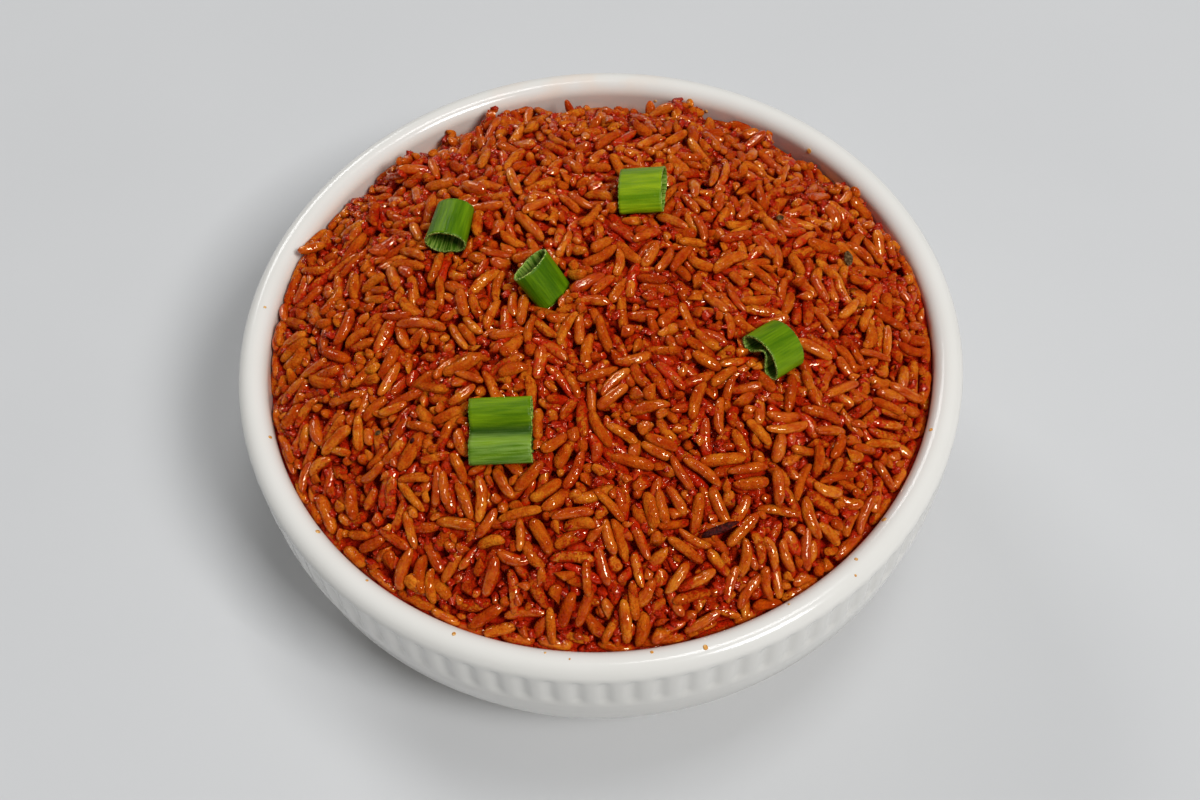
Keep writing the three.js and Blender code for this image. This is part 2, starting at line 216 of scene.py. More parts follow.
# Spring onion
ONION_WALL = 0.45
CREASE_WIDTH = 0.34
# Width of the painted shade along the fold of a creased leaf
FOLD_SHADE_WIDTH = 0.16
# How a painted sheen grows on the leaf below the fold, and its most
SHEEN_GROWTH = 3
SHEEN_MOST = 0.5
CUT_WIDTH = 0.16
CUT_RAGGEDNESS = 0.16
CUT_RAGS = 2.6
CUT_REACH = 8
LEAF_DENTS = 0.02
LEAF_DENTS_ROUND = 1.2
ONION_SIDES = 96
ONION_STEPS = 16
ONION_PIECES = {
    "spring_onion_back_left": {
        "at": (-29.6, 19.9),
        "turn": 76,
        "pitch": 2,
        "length": 9.6,
        "width": 8.8,
        "height": 6.8,
        "crease_bottom": 0.5,
        "taper": 0.06,
        "sink": 0.9,
        "tone": 0.35,
    },
    "spring_onion_back": {
        "at": (11.3, 25.8),
        "turn": -8,
        "pitch": 5,
        "length": 9.3,
        "width": 13.8,
        "height": 6.6,
        "crease_bottom": 0.8,
        "arch": 1,
        "sink": 0.9,
        "tone": 0.85,
    },
    "spring_onion_middle": {
        "at": (-10.6, 2.5),
        "turn": 138,
        "pitch": 60,
        "roll": 8,
        "length": 8.8,
        "width": 9.3,
        "height": 6.6,
        "crease_bottom": 0.4,
        "taper": -0.03,
        "sink": 3.4,
        "tone": 0.3,
    },
    "spring_onion_right": {
        "at": (34.6, -14.8),
        "turn": 34,
        "pitch": -3,
        "length": 7.8,
        "width": 11,
        "height": 6.4,
        "crease_bottom": 4.4,
        "arch": 0.9,
        "sink": 0.9,
        "tone": 0.45,
    },
    "spring_onion_front_left": {
        "at": (-20.3, -30.3),
        "turn": -2,
        "pitch": 3,
        "length": 12.5,
        "width": 13.8,
        "height": 4.8,
        "crease_top": 2.3,
        "sink": 0.7,
        "tone": 0.5,
    },
}

# Camera and light
LENS = 50
SENSOR = 36
CAMERA_TILT = math.radians(58.21)  # the view's angle above the table
CAMERA_ROLL = math.radians(3.21)
CAMERA_DISTANCE = 358.6
CAMERA_ASIDE = (-0.29, 13.42)
# Lights: where they shine from, and their distance, size and power
LIGHTS = {
    "window": ((0.42, -0.42, 0.8), 3, 0.8, 62),
    "far_window": ((-0.4, 0.75, 0.52), 3, 1, 22),
    "ceiling": ((0.17, 0.1, 0.98), 3, 0.8, 19),
}
ROOM_COLOUR = (0.98, 0.99, 1, 1)
ROOM_STRENGTH = 0.14
FLOOR_REACH = 8000

SEED = 11


def colour(red, green, blue):
    """A display colour, 0 to 255, as the linear colour that shaders take."""
    shares = [channel / 255 for channel in (red, green, blue)]
    return tuple(s / 12.92 if s <= 0.04045 else ((s + 0.055) / 1.055) ** 2.4 for s in shares) + (1,)


# Shader maths


def maths(operation, reflected=False):
    """The method behind one of Python's operators: it adds that Math node."""

    def apply(self, other):
        pair = (other, self) if reflected else (self, other)
        return self.nodes.add("ShaderNodeMath", {"operation": operation}, dict(enumerate(pair)))

    return apply


class Signal:
    """A node's output. An expression on signals and numbers adds its Math nodes."""

    def __init__(self, nodes, socket):
        self.nodes = nodes
        self.socket = socket

    __add__ = maths("ADD")
    __radd__ = maths("ADD", True)
    __sub__ = maths("SUBTRACT")
    __rsub__ = maths("SUBTRACT", True)
    __mul__ = maths("MULTIPLY")
    __rmul__ = maths("MULTIPLY", True)
    __pow__ = maths("POWER")

    def between(self, low, high):
        """0 below low, 1 above high, and smooth in between."""
        settings = {"interpolation_type": "SMOOTHSTEP"}
        return self.nodes.add("ShaderNodeMapRange", settings, {0: self, 1: low, 2: high, 3: 0, 4: 1})


class Nodes:
    """The nodes of one material."""

    def __init__(self, name):
        self.material = bpy.data.materials.new(name)
        self.material.use_nodes = True
        self.tree = self.material.node_tree
        self.tree.nodes.clear()

    def add(self, kind, settings=None, inputs=None, output=0):
        """Adds a node: its settings first, then each socket's value or link."""
        node = self.tree.nodes.new(kind)
        for name, value in (settings or {}).items():
            setattr(node, name, value)
        for name, value in (inputs or {}).items():
            if isinstance(value, Signal):
                self.tree.links.new(value.socket, node.inputs[name])
            else:
                node.inputs[name].default_value = value
        return Signal(self, node.outputs[output])

    def object_place(self):
        """The point's place in millimetres."""
        place = self.add("ShaderNodeTexCoord", output=3)
        return self.scaled(place, (1 / MM,) * 3)

    def attribute(self, name, output=2):
        return self.add("ShaderNodeAttribute", {"attribute_name": name}, output=output)

    def scaled(self, vector, factors):
        return self.add("ShaderNodeVectorMath", {"operation": "MULTIPLY"}, {0: vector, 1: factors})

    def parts(self, vector):
        node = self.add("ShaderNodeSeparateXYZ", None, {0: vector}).socket.node
        return [Signal(self, output) for output in node.outputs]

    def grains(self, place, size, detail=2, roughness=0.5):
        """Soft noise from 0 to 1 with features of about that size."""
        inputs = {"Vector": place, "Scale": 1 / size, "Detail": detail, "Roughness": roughness}
        return self.add("ShaderNodeTexNoise", None, inputs)

    def mix(self, share, first, second):
        return self.add("ShaderNodeMix", {"data_type": "RGBA"}, {0: share, 6: first, 7: second}, output=2)

    def bump(self, height, depth):
        """A relief: height is from 0 to 1 and depth is in millimetres."""
        return self.add("ShaderNodeBump", None, {"Height": height, "Distance": depth * MM, "Strength": 1})

    def shader(self, **inputs):
        """A Principled shader. Names are its own, with _ for a space."""
        named = {name.replace("_", " "): value for name, value in inputs.items()}
        return self.add("ShaderNodeBsdfPrincipled", None, named)

    def surface(self, share=None, wet=None, **dry):
        """Ends the material: the dry shader, and over that share of it what wet changes."""
        shader = self.shader(**dry)
        if wet:
            pair = {0: share, 1: shader, 2: self.shader(**{**dry, **wet})}
            shader = self.add("ShaderNodeMixShader", None, pair)
        output = self.tree.nodes.new("ShaderNodeOutputMaterial")
        self.tree.links.new(shader.socket, output.inputs["Surface"])
        return self.material


# Materials


def glazed_porcelain():
    nodes = Nodes("glazed_porcelain")
    place = nodes.object_place()
    x, y, z = nodes.parts(place)
    radius = (x * x + y * y) ** 0.5
    cloud = nodes.grains(place, 14)
    white = nodes.mix(cloud, colour(230, 228, 223), colour(224, 222, 216))
    inside = 1 - radius.between(INNER_RADIUS - 0.4, INNER_RADIUS + 1.4)
    low = 3.5 * y.between(15, 60) - 1.5 * x.between(50, 68)
    near_rice = 1 - (z + low).between(RICE_EDGE_Z - 0.5, RICE_EDGE_Z + 2.2)
    patches = nodes.grains(place, 5, 3).between(0.42, 0.72)
    # Orange along the inner wall just above the rice: partly sauce stain, partly painted bounce light from
    # the rice
    stain_and_bounce = inside * z.between(32, 36) * near_rice * (0.25 + 0.75 * patches)
    stained_and_bounce_lit = nodes.mix(stain_and_bounce * 0.75, white, colour(236, 150, 84))
    # A painted warm glow of bounce light on a patch of the inner wall at the back, above the rice
    back = z.between(50.5, 52.5) * y.between(62, 74) * (1 - x.between(8, 30)) * x.between(-34, -12)
    painted_back_light = back * nodes.grains(place, 9, 2).between(0.35, 0.75)
    back_lit = nodes.mix(painted_back_light * 0.3, stained_and_bounce_lit, colour(240, 205, 176))
    # The whole inside painted warmer, as bounce light from the rice
    bounce_warmed = nodes.mix(inside * 0.5, back_lit, colour(236, 224, 208))
    ripple = nodes.grains(place, 7, 2)
    return nodes.surface(
        Base_Color=bounce_warmed,
        Roughness=0.12 + 0.06 * nodes.grains(place, 3, 3),
        Specular_IOR_Level=0.35,
        Normal=nodes.bump(ripple, 0.05),
    )


def cooked_rice():
    nodes = Nodes("cooked_rice")
    place = nodes.attribute("grain_place", 1)
    tone = nodes.attribute("grain_tone")
    paste = nodes.attribute("grain_paste")
    gloss = nodes.attribute("grain_gloss")
    depth = nodes.attribute("grain_depth")
    along = nodes.scaled(place, (1, 1, 0.28))
    streaks = nodes.grains(along, 0.7, 3)
    clouds = nodes.grains(place, 2.6, 2)
    deep = nodes.mix(tone, colour(168, 46, 0), colour(192, 74, 2))
    pale = nodes.mix(tone, colour(198, 80, 2), colour(224, 132, 26))
    body = nodes.mix((0.6 * clouds + 0.4 * streaks).between(0.36, 0.66), deep, pale)
    clots = nodes.grains(place, 1, 4, 0.66)
    stain = (clots + 0.24 * (paste - 0.5) + 0.2 * depth).between(0.5, 0.6)
    grit = nodes.grains(place, 0.5, 3, 0.6).between(0.34, 0.66)
    specks = nodes.grains(place, 0.42, 2, 0.6).between(0.45, 0.65)
    dotted = nodes.mix(specks * 0.4, body, colour(172, 36, 0))
    coated = nodes.mix(stain * 0.85, dotted, nodes.mix(grit, colour(180, 12, 0), colour(206, 36, 2)))
    relief = grit * (0.3 + 0.3 * stain) + 0.1 * streaks + 0.2 * stain
    beads = nodes.grains(place, 0.6, 2, 0.6)
    wet = (0.3 * nodes.grains(along, 0.8, 2) + 0.7 * beads + 0.16 * (gloss - 0.5)).between(0.5, 0.55)
    film = nodes.grains(place, 0.75, 2, 0.5)
    return nodes.surface(
        Base_Color=coated,
        Roughness=0.7,
        Specular_IOR_Level=0.05,
        Subsurface_Weight=0.3,
        Subsurface_Radius=(1, 0.3, 0.08),
        Subsurface_Scale=0.002,
        Normal=nodes.bump(relief, 0.6),
        share=wet,
        wet={
            "Roughness": 0.08,
            "Specular_IOR_Level": 1,
            "Specular_Tint": (1, 0.87, 0.62, 1),
            "Normal": nodes.bump(film, 0.13),
        },
    )


def packed_bed():
    nodes = Nodes("packed_bed")
    place = nodes.object_place()
    clumps = nodes.grains(place, 1.1, 4, 0.65)
    wet = nodes.mix(clumps.between(0.35, 0.7), colour(188, 11, 0), colour(214, 50, 3))
    return nodes.surface(
        Base_Color=wet,
        Roughness=0.5 + 0.3 * clumps,
        Specular_IOR_Level=0.1,
        Normal=nodes.bump(clumps, 1),
    )


def pepper_paste():
    nodes = Nodes("pepper_paste")
    place = nodes.attribute("grain_place", 1)
    tone = nodes.attribute("grain_tone")
    grit = nodes.grains(place, 0.35, 3, 0.6)
    lumps = nodes.grains(place, 0.8, 2)
    light = 0.3 * tone + 0.3 * lumps.between(0.35, 0.65) + 0.4 * grit.between(0.4, 0.62)
    red = nodes.mix(light, colour(142, 6, 0), colour(202, 46, 3))
    return nodes.surface(
        Base_Color=red,
        Roughness=0.6,
        Specular_IOR_Level=0.08,
        Normal=nodes.bump(grit, 0.45),
        share=grit.between(0.44, 0.52),
        wet={
            "Roughness": 0.12,
            "Specular_IOR_Level": 0.8,
            "Specular_Tint": (1, 0.8, 0.6, 1),
            "Normal": nodes.bump(lumps, 0.25),
        },
    )


def onion_leaf():
    nodes = Nodes("onion_leaf")
    place = nodes.attribute("leaf_place", 1)
    tone = nodes.attribute("leaf_tone")
    cut = nodes.attribute("leaf_cut")
    inner = nodes.attribute("leaf_inner")
    fold_shade = nodes.attribute("leaf_fold_shade")
    below = nodes.attribute("leaf_sheen_below")
    veins = nodes.grains(nodes.scaled(place, (1, 1, 0.07)), 0.42, 2)
    broad = nodes.grains(nodes.scaled(place, (1, 1, 0.16)), 2.2, 2)
    dark = nodes.mix(tone, colour(22, 72, 0), colour(98, 136, 2))
    light = nodes.mix(tone, colour(68, 122, 2), colour(156, 180, 12))
    skin = nodes.mix((0.35 * veins + 0.75 * broad - 0.05).between(0.3, 0.75), dark, light)
    # A painted dark line of shade along the fold
    fold_shaded = nodes.mix(fold_shade * 0.8, skin, colour(12, 50, 1))
    # A painted sheen on the lobe below the fold
    sheen = nodes.mix(below * (veins - 0.3), fold_shaded, colour(160, 190, 130))
    lining = nodes.mix(veins.between(0.4, 0.6), colour(58, 98, 14), colour(140, 164, 70))
    lined = nodes.mix(inner * 0.8, sheen, lining)
    fibres = nodes.grains(place, 0.3, 2)
    rim = nodes.mix(fibres.between(0.46, 0.56), colour(40, 92, 8), colour(186, 206, 104))
    trimmed = nodes.mix(1 - cut.between(0, CUT_WIDTH), lined, rim)
    return nodes.surface(
        Base_Color=trimmed,
        Roughness=0.25 + 0.3 * broad,
        Specular_IOR_Level=0.14,
        Subsurface_Weight=0.08,
        Subsurface_Radius=(0.4, 1, 0.2),
        Subsurface_Scale=0.0008,
        Normal=nodes.bump(0.7 * veins + 0.3 * fibres, 0.2),
    )


def wrinkled_skin(name, dark, light):
    nodes = Nodes(name)
    blisters = nodes.grains(nodes.object_place(), 0.7, 3)
    return nodes.surface(
        Base_Color=nodes.mix(blisters.between(0.4, 0.7), colour(*dark), colour(*light)),
        Roughness=0.35 + 0.3 * blisters,
        Specular_IOR_Level=0.08,
        Normal=nodes.bump(blisters, 0.5),
    )


def pale_floor():
    nodes = Nodes("pale_floor")
    place = nodes.object_place()
    return nodes.surface(
        Base_Color=nodes.mix(nodes.grains(place, 60, 2), colour(206, 207, 208), colour(202, 203, 204)),
        Roughness=0.7 + 0.1 * nodes.grains(place, 8, 2),
    )


# Pieces


def add_piece(mesh, material, replaced):
    """Turns a finished mesh into metres and adds it as a piece of the dish."""
    mesh.transform(Matrix.Scale(MM, 4))
    mesh.shade_smooth()
    mesh.materials.append(material)
    piece = bpy.data.objects.new(mesh.name, mesh)
    bpy.context.scene.collection.objects.link(piece)
    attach(piece, "root")
    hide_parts(replaced)


def to_mesh(name, shape):
    """The mesh of a bmesh whose doubles are merged and whose faces point outwards."""
    bmesh.ops.remove_doubles(shape, verts=shape.verts, dist=1e-4)
    bmesh.ops.recalc_face_normals(shape, faces=shape.faces)
    mesh = bpy.data.meshes.new(name)
    shape.to_mesh(mesh)
    shape.free()
    return mesh


def turned(profile, sectors, steps, carve=None):
    """A bmesh turned about the Z axis from a line of (radius, height) points, one sector repeated.

    carve changes the first sector before it is repeated.
    """
    shape = bmesh.new()
    line = [shape.verts.new((radius, 0, height)) for radius, height in profile]
    edges = [shape.edges.new(pair) for pair in zip(line, line[1:])]
    axis = {"cent": (0, 0, 0), "axis": (0, 0, 1)}
    sector = 2 * math.pi / sectors
    bmesh.ops.spin(shape, geom=line + edges, angle=sector, steps=steps, **axis)
    bmesh.ops.remove_doubles(shape, verts=shape.verts, dist=1e-4)
    if carve:
        carve(shape)
    rest = {"angle": sector * (sectors - 1), "steps": sectors - 1, "use_duplicate": True}
    bmesh.ops.spin(shape, geom=shape.verts[:] + shape.edges[:] + shape.faces[:], **rest, **axis)
    bmesh.ops.remove_doubles(shape, verts=shape.verts, dist=1e-4)
    return shape


def set_attribute(mesh, name, values):
    """Gives each of the mesh's points a number, or a vector where a value has three parts."""
    values = np.asarray(values, np.float32)
    kind, field = ("FLOAT_VECTOR", "vector") if values.ndim == 2 else ("FLOAT", "value")
    mesh.attributes.new(name, kind, "POINT").data.foreach_set(field, values.ravel())


# Bowl


def belly_radius(z, radius, floor, power):
    """Radius at height z of a wall that turns up from a flat floor and ends upright at the lip."""
    left = max(0, 1 - (z - floor) / (LIP_Z - floor))
    return radius * (1 - left**power) ** (1 / BELLY_ROUNDING)


def bowl_profile():
    """From the middle of the underside, over the foot, the wall and the lip, to the middle inside."""
    foot_inside = FOOT_RADIUS - FOOT_WIDTH
    points = [(0, FOOT_HEIGHT), (foot_inside - 1, FOOT_HEIGHT)]
    for middle, start in ((foot_inside + FOOT_ROUNDING, 180), (FOOT_RADIUS - FOOT_ROUNDING, 270)):
        for turn in (0, 45, 90):
            angle = math.radians(start + turn)
            across = FOOT_ROUNDING * math.cos(angle)
            points.append((middle + across, FOOT_ROUNDING + FOOT_ROUNDING * math.sin(angle)))
    points.append((FOOT_RADIUS + 0.6, FOOT_HEIGHT - 0.4))
    wall = np.geomspace(FOOT_HEIGHT + 0.8, FLUTE_BOTTOM - 1, WALL_ROWS)
    flutes = np.linspace(FLUTE_BOTTOM, LIP_Z - 0.5, FLUTE_ROWS)
    for z in (*wall, *flutes):
        points.append((belly_radius(z, RIM_RADIUS, 0, OUTER_BELLY), z))
    for row in range(LIP_ROWS + 1):
        angle = math.pi * row / LIP_ROWS
        radius = RIM_RADIUS - LIP_HALF_WIDTH + LIP_HALF_WIDTH * math.cos(angle)
        points.append((radius, LIP_Z + LIP_HALF_WIDTH * math.sin(angle)))
    for z in np.linspace(LIP_Z - 2, FLOOR_Z + 1, INNER_ROWS):
        points.append((belly_radius(z, INNER_RADIUS, FLOOR_Z, INNER_BELLY), z))
    points.append((0, FLOOR_Z))
    return points


def rounded_step(distance, width):
    share = min(1, max(0, distance / width))
    return share * share * (3 - 2 * share)


def carve_flute(shape):
    """A soft groove in the wall at each side of the sector, with a rib between them."""
    for vert in shape.verts:
        x, y, z = vert.co
        radius = math.hypot(x, y)
        if radius < RIM_RADIUS - LIP_HALF_WIDTH or not FLUTE_BOTTOM < z < FLUTE_TOP:
            continue
        across = (0.5 + 0.5 * math.cos(FLUTES * math.atan2(y, x))) ** FLUTE_NARROWNESS
        ends = rounded_step(z - FLUTE_BOTTOM, FLUTE_END) * rounded_step(FLUTE_TOP - z, FLUTE_END)
        inwards = 1 - FLUTE_DEPTH * across * ends / radius
        vert.co = (x * inwards, y * inwards, z)


def bowl():
    return to_mesh("bowl_glazed", turned(bowl_profile(), FLUTES, STEPS_PER_FLUTE, carve_flute))


# Rice heap


def heap_height(x, y):
    """Height of the heap's core: a dome with a round shoulder and a few broad lumps."""
    reach = np.minimum(1, np.hypot(x, y) / RICE_RADIUS)
    dome = DOME_HEIGHT * (1 - reach**DOME_POWER) ** DOME_SHOULDER
    broad = np.sin(x / BROAD_LUMPS["length"] + 1) * np.cos(y / BROAD_LUMPS["length"])
    across = np.sin((x - y) / CROSS_LUMPS["length"] + 2)
    lumps = BROAD_LUMPS["rise"] * broad + CROSS_LUMPS["rise"] * across
    return RICE_EDGE_Z + dome + lumps * (1 - reach**6)


def edge_drop(x, y):
    """How much lower the grains lie near the wall, or higher where it is negative."""
    angle = np.arctan2(y, x)
    drop = 0
    for middle, spread, depth in LOW_EDGES:
        off = np.angle(np.exp(1j * (angle - math.radians(middle)))) / math.radians(spread)
        drop = drop + depth * np.exp(-(off**2))
    ragged = 1 + EDGE_RAGGEDNESS * np.sin(17 * angle) * np.sin(7 * angle + 1)
    return drop * ragged * np.minimum(1, np.hypot(x, y) / RICE_RADIUS) ** 8


def bed_height(x, y):
    """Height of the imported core, on which the grains are laid."""
    filled = BED_RISE_BY_WALL * np.minimum(1, np.hypot(x, y) / RICE_RADIUS) ** 40
    return heap_height(x, y) - edge_drop(x, y) - BED_DEPTH * (1 - filled)


def heap_normal(x, y, step=1.5):
    rise_x = (heap_height(x + step, y) - heap_height(x - step, y)) / (2 * step)
    rise_y = (heap_height(x, y + step) - heap_height(x, y - step)) / (2 * step)
    return Vector((-rise_x, -rise_y, 1)).normalized()


def rice_bed():
    """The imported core: it fills the bowl, and its uneven top shows in the gaps between grains."""
    reach = INNER_RADIUS - TOP_GAP
    edge_z = RICE_EDGE_Z - BED_DEPTH
    profile = [(0, FLOOR_Z + WALL_GAP)]
    for z in BED_LEVELS:
        profile.append((belly_radius(z, INNER_RADIUS, FLOOR_Z, INNER_BELLY) - 2 * WALL_GAP, z))
    profile += [(r, edge_z) for r in np.arange(reach, 0, -BED_RING)]
    profile.append((0, edge_z))
    shape = turned(profile, BED_SECTORS, BED_STEPS)
    for vert in shape.verts:
        if vert.co.z > edge_z - 0.01:
            x, y, _ = vert.co
            relief = noise.noise(Vector((x, y, 0)) / BED_RELIEF_LENGTH)
            vert.co.z = float(bed_height(x, y)) + BED_RELIEF * relief
    return to_mesh("rice_bed", shape)


def half_width(share):
    """A grain's half width at a share of its half length from its middle, as a share of the widest."""
    return (1 - np.minimum(1, np.abs(share)) ** GRAIN_FULLNESS) ** GRAIN_BLUNTNESS


def grain_shape(random, bend, broken):
    """Points and faces of one grain that is 2 long and 2 wide, with its length along Z."""
    cut = random.uniform(*BREAK_AT) if broken else 1
    shape = bmesh.new()
    bmesh.ops.create_uvsphere(shape, u_segments=GRAIN_SIDES, v_segments=GRAIN_RINGS, radius=1)
    bow, sway = bend * random.uniform(0.5, 1), bend * random.uniform(-0.5, 0.5)
    groove, skew = random.uniform(0, GROOVE), random.uniform(-SKEW, SKEW)
    start = random.uniform(0, 2 * math.pi)
    full, other_full = random.uniform(*GRAIN_ENDS, 2)
    for vert in shape.verts:
        x, y, z = vert.co
        ring = math.hypot(x, y)
        angle = math.atan2(y, x)
        if ring > 1e-6:
            body = (1 - abs(z) ** (full if z > 0 else other_full)) ** GRAIN_BLUNTNESS * (1 + skew * z)
            body *= 1 - groove * math.cos(2 * angle + start) + random.uniform(-DENTS, DENTS)
            x, y = body * x / ring, body * y / ring
        vert.co = (x, y, z)
    if broken:
        slant = [random.uniform(-BREAK_SLANT, BREAK_SLANT) for _ in range(2)]
        tilt = Vector((*slant, 1))
        plane = {"plane_co": (0, 0, cut), "plane_no": tilt, "clear_outer": True}
        everything = shape.verts[:] + shape.edges[:] + shape.faces[:]
        made = bmesh.ops.bisect_plane(shape, geom=everything, **plane)["geom_cut"]
        rim = [part for part in made if isinstance(part, bmesh.types.BMEdge)]
        bmesh.ops.holes_fill(shape, edges=rim, sides=0)
    for vert in shape.verts:
        x, y, z = vert.co
        vert.co = (x + bow * (z * z - 0.35) + 0.5 * sway * z**3, y + sway * (z * z - 0.35), z)
    bmesh.ops.recalc_face_normals(shape, faces=shape.faces)
    shape.verts.index_update()
    points = np.array([vert.co for vert in shape.verts])
    faces = [[vert.index for vert in face.verts] for face in shape.faces]
    shape.free()
    return points, faces


class Pile:
    """The heap's top as a grid of heights, which rises as grains are laid on it."""

    def __init__(self, random):
        self.random = random
        self.size = int(2 * RIM_RADIUS / CELL) + 1
        axis = -RIM_RADIUS + CELL * np.arange(self.size)
        self.x, self.y = np.meshgrid(axis, axis, indexing="ij")
        heap = heap_height(self.x, self.y) - edge_drop(self.x, self.y)
        self.top = bed_height(self.x, self.y)
        edge = np.minimum(1, np.hypot(self.x, self.y) / RICE_RADIUS) ** CLUMPS_BY_EDGE
        back = np.clip(CLUMPS_GROWTH * self.y / RICE_RADIUS, 0, 1)
        inside = 1 - edge * (1 - CLUMPS_AT_BACK * back)
        for length, rise in CLUMPS:
            places = zip(self.x.ravel() / length, self.y.ravel() / length)
            lumps = [noise.noise(Vector((x, y, length))) for x, y in places]
            heap = heap + rise * inside * np.reshape(lumps, heap.shape)
        self.crest = np.maximum(heap, self.top + LEAST_COVER) + CREST_RISE
        self.roof = np.full_like(heap, np.inf)
        self.open_pits()
        self.stations = np.linspace(-0.9, 0.9, 9)[None, :, None]
        self.sides = np.array([-0.6, 0, 0.6])[None, None]
        self.slopes = np.linspace(-STEEPEST, STEEPEST, SLOPES)

    def open_pits(self):
        """Grains may go everywhere but close to the wall."""
        self.full = np.hypot(self.x, self.y) > RICE_RADIUS - WALL_MARGIN

    def cells(self, x, y):
        last = self.size - 1
        column = np.clip(np.rint((x + RIM_RADIUS) / CELL).astype(int), 0, last)
        row = np.clip(np.rint((y + RIM_RADIUS) / CELL).astype(int), 0, last)
        return column, row

    def block(self, x, y, reach):
        """The cells in a square about a place."""
        column, row = self.cells(np.array(x), np.array(y))
        count = int(reach / CELL) + 2
        return (
            slice(max(0, column - count), column + count + 1),
            slice(max(0, row - count), row + count + 1),
        )

    def put_roof(self, tree):
        """No grain goes above a spring onion's underside, found by looking up from below it."""
        for column in range(self.size):
            for row in range(self.size):
                x, y = self.x[column, row], self.y[column, row]
                hit = tree.ray_cast(Vector((x, y, 0)), Vector((0, 0, 1)))[0]
                if hit:
                    self.roof[column, row] = hit.z

    def rest(self, x, y, turns, grain):
        """The turn, height and slope at which a grain comes to rest lowest there, or None."""
        half, width, thickness = grain["length"] / 2, grain["width"] / 2, grain["thickness"] / 2
        cos, sin = np.cos(turns)[:, None, None], np.sin(turns)[:, None, None]
        ahead = self.stations * half
        body = half_width(self.stations)
        aside = self.sides * width * body
        px = x + ahead * cos - aside * sin
        py = y + ahead * sin + aside * cos
        cells = self.cells(px, py)
        belly = thickness * body * np.sqrt(1 - self.sides**2)
        need = (self.top[cells] + belly)[..., None] - self.slopes * ahead[..., None]
        heights = need.max(axis=(1, 2))
        best = heights.argmin(axis=1)
        height = heights[np.arange(len(turns)), best] - SINK
        slope = self.slopes[best]
        back = (height[:, None] + slope[:, None] * ahead[..., 0])[..., None] + belly
        limit = np.minimum(self.crest[cells] + grain["proud"], self.roof[cells] - ROOF_GAP)
        fits = (back <= limit).all(axis=(1, 2))
        reach = np.hypot(px, py).max(axis=(1, 2)) + SIDE_CLEARANCE * width
        fits &= reach <= INNER_RADIUS - TOP_GAP
        if not fits.any():
            return None
        lowest = np.where(fits, height, np.inf).argmin()
        return float(turns[lowest]), float(height[lowest]), float(slope[lowest])

    def raise_over(self, grain):
        """The pile rises to the back of a grain that was laid."""
        x, y, turn, height, slope = (grain[part] for part in ("x", "y", "turn", "height", "slope"))
        half, width, thickness = grain["length"] / 2, grain["width"] / 2, grain["thickness"] / 2
        block = self.block(x, y, half)
        dx, dy = self.x[block] - x, self.y[block] - y
        ahead = dx * math.cos(turn) + dy * math.sin(turn)
        aside = dy * math.cos(turn) - dx * math.sin(turn)
        flat = half / math.sqrt(1 + slope**2)
        body = half_width(ahead / flat) ** 2 - (aside / width) ** 2
        back = height + slope * ahead + thickness * np.sqrt(np.maximum(0, body))
        self.top[block] = np.where(body > 0, np.maximum(self.top[block], back), self.top[block])

    def settle(self, grain, x, y, turn, height, slope):
        """Notes where a grain lies, and raises the pile over it."""
        grain.update({"x": x, "y": y, "turn": turn, "height": height, "slope": slope})
        self.raise_over(grain)

    def level(self):
        """The pile's top with the single grains smoothed away."""
        smooth = self.top
        for _ in range(LEVEL_SMOOTHING):
            moved = [np.roll(smooth, step, axis) for axis in (0, 1) for step in (-1, 1)]
            smooth = (smooth + sum(moved)) / 5
        return smooth

    def random_places(self, count):
        radius = RICE_RADIUS * np.sqrt(self.random.uniform(0, 1, count))
        angle = self.random.uniform(0, 2 * math.pi, count)
        return radius * np.cos(angle), radius * np.sin(angle)

    def deepest_pit(self):
        """The lowest of some random places, against the heap's crest, and its depth."""
        x, y = self.random_places(PITS_LOOKED_AT)
        cells = self.cells(x, y)
        depth = np.where(self.full[cells], np.inf, self.top[cells] - self.crest[cells])
        lowest = int(np.argmin(depth))
        return float(x[lowest]), float(y[lowest]), -float(depth[lowest])

    def close_pit(self, x, y):
        """No grain fits there any more."""
        block = self.block(x, y, CLOSED_AROUND)
        self.full[block] |= np.hypot(self.x[block] - x, self.y[block] - y) < CLOSED_AROUND

    def lay(self, grain):
        """Lays one grain in a pit, turned the way in which it comes to rest lowest."""
        for _ in range(PITS_TRIED):
            x, y, depth = self.deepest_pit()
            if depth < grain["thickness"] - SINK - grain["proud"]:
                return False
            turns = self.random.uniform(0, 2 * math.pi, TURNS_TRIED)
            if math.hypot(x, y) > RICE_RADIUS - BY_WALL:
                turns = math.atan2(x, -y) + self.random.normal(0, ALONG_WALL, TURNS_TRIED)
            rested = self.rest(x, y, turns, grain)
            if rested:
                break
            self.close_pit(x, y)
        else:
            return False
        self.settle(grain, x, y, *rested)
        return True

    def line_wall(self, make_grain):
        """Rows of grains that lie along the wall, one on another."""
        for _ in range(WALL_ROWS_OF_RICE):
            angle = self.random.uniform(0, 0.1)
            while angle < 2 * math.pi:
                grain = make_grain()
                radius = RICE_RADIUS - WALL_NESTING * grain["width"] - self.random.uniform(*WALL_WANDER)
                angle += 0.5 * grain["length"] / radius
                x, y = radius * math.cos(angle), radius * math.sin(angle)
                turns = angle + math.pi / 2 + self.random.normal(0, WALL_TURN, 3)
                rested = self.rest(x, y, turns, grain)
                angle += self.random.uniform(*WALL_STEP) * grain["length"] / radius
                if rested:
                    self.settle(grain, x, y, *rested)
                    yield grain

